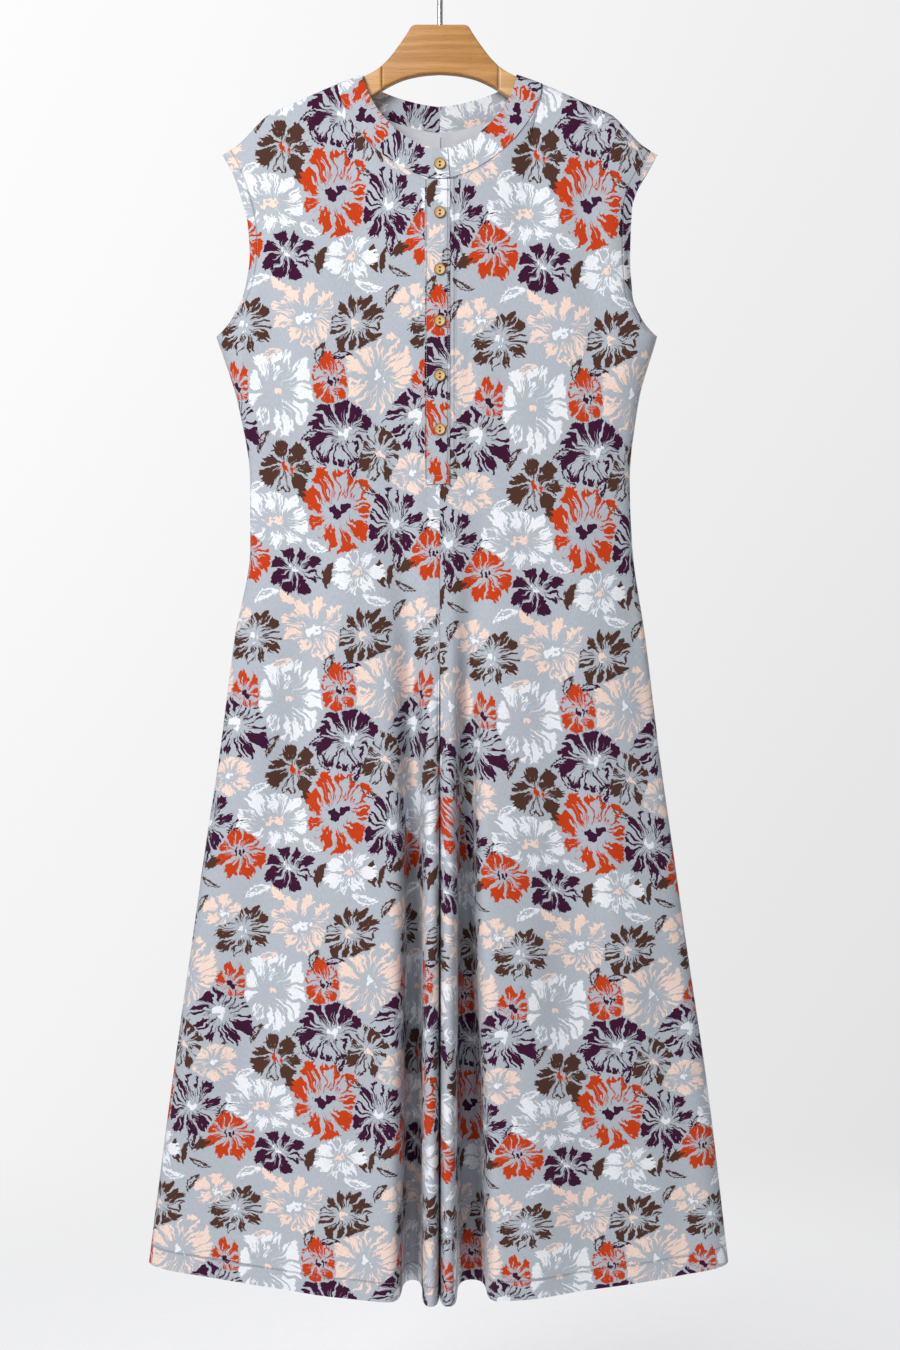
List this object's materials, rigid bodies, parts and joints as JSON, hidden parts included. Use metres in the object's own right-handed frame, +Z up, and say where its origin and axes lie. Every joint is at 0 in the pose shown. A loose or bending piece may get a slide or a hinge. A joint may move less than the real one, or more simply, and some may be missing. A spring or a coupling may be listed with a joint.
{
  "type": "jumpsuit on a hanger",
  "caption": "Sleeveless wide-leg jumpsuit in a large floral print, with a round banded neck and a buttoned half placket, hanging flat on a plain wooden hanger.",
  "frame": {"origin": "inner top of the hook, where the rail carries it", "axes": "+Z up, -Y out of the front, +X towards the viewer's right as one faces the front"},
  "size_m": [0.6364, 0.1474, 1.4659],
  "materials": {
    "printed_cloth": "matte printed knit, grey-blue ground with orange, aubergine, brown, peach and white flowers",
    "button_wood": "varnished, darker rim",
    "hanger_wood": "satin varnish",
    "pale_wood": "satin varnish",
    "steel": "polished"
  },
  "bodies": {
    "root": {"front_left": "printed_cloth", "front_right": "printed_cloth", "back_left": "printed_cloth", "back_right": "printed_cloth", "neckband_left": "printed_cloth", "neckband_right": "printed_cloth", "placket_upper": "printed_cloth", "placket_under": "printed_cloth", "button_1": "button_wood", "button_2": "button_wood", "button_3": "button_wood", "button_4": "button_wood", "button_5": "button_wood", "button_6": "button_wood", "hanger_head": "hanger_wood", "hanger_arm_left": "pale_wood", "hanger_arm_right": "pale_wood", "hook": "steel"}
  },
  "joints": []
}
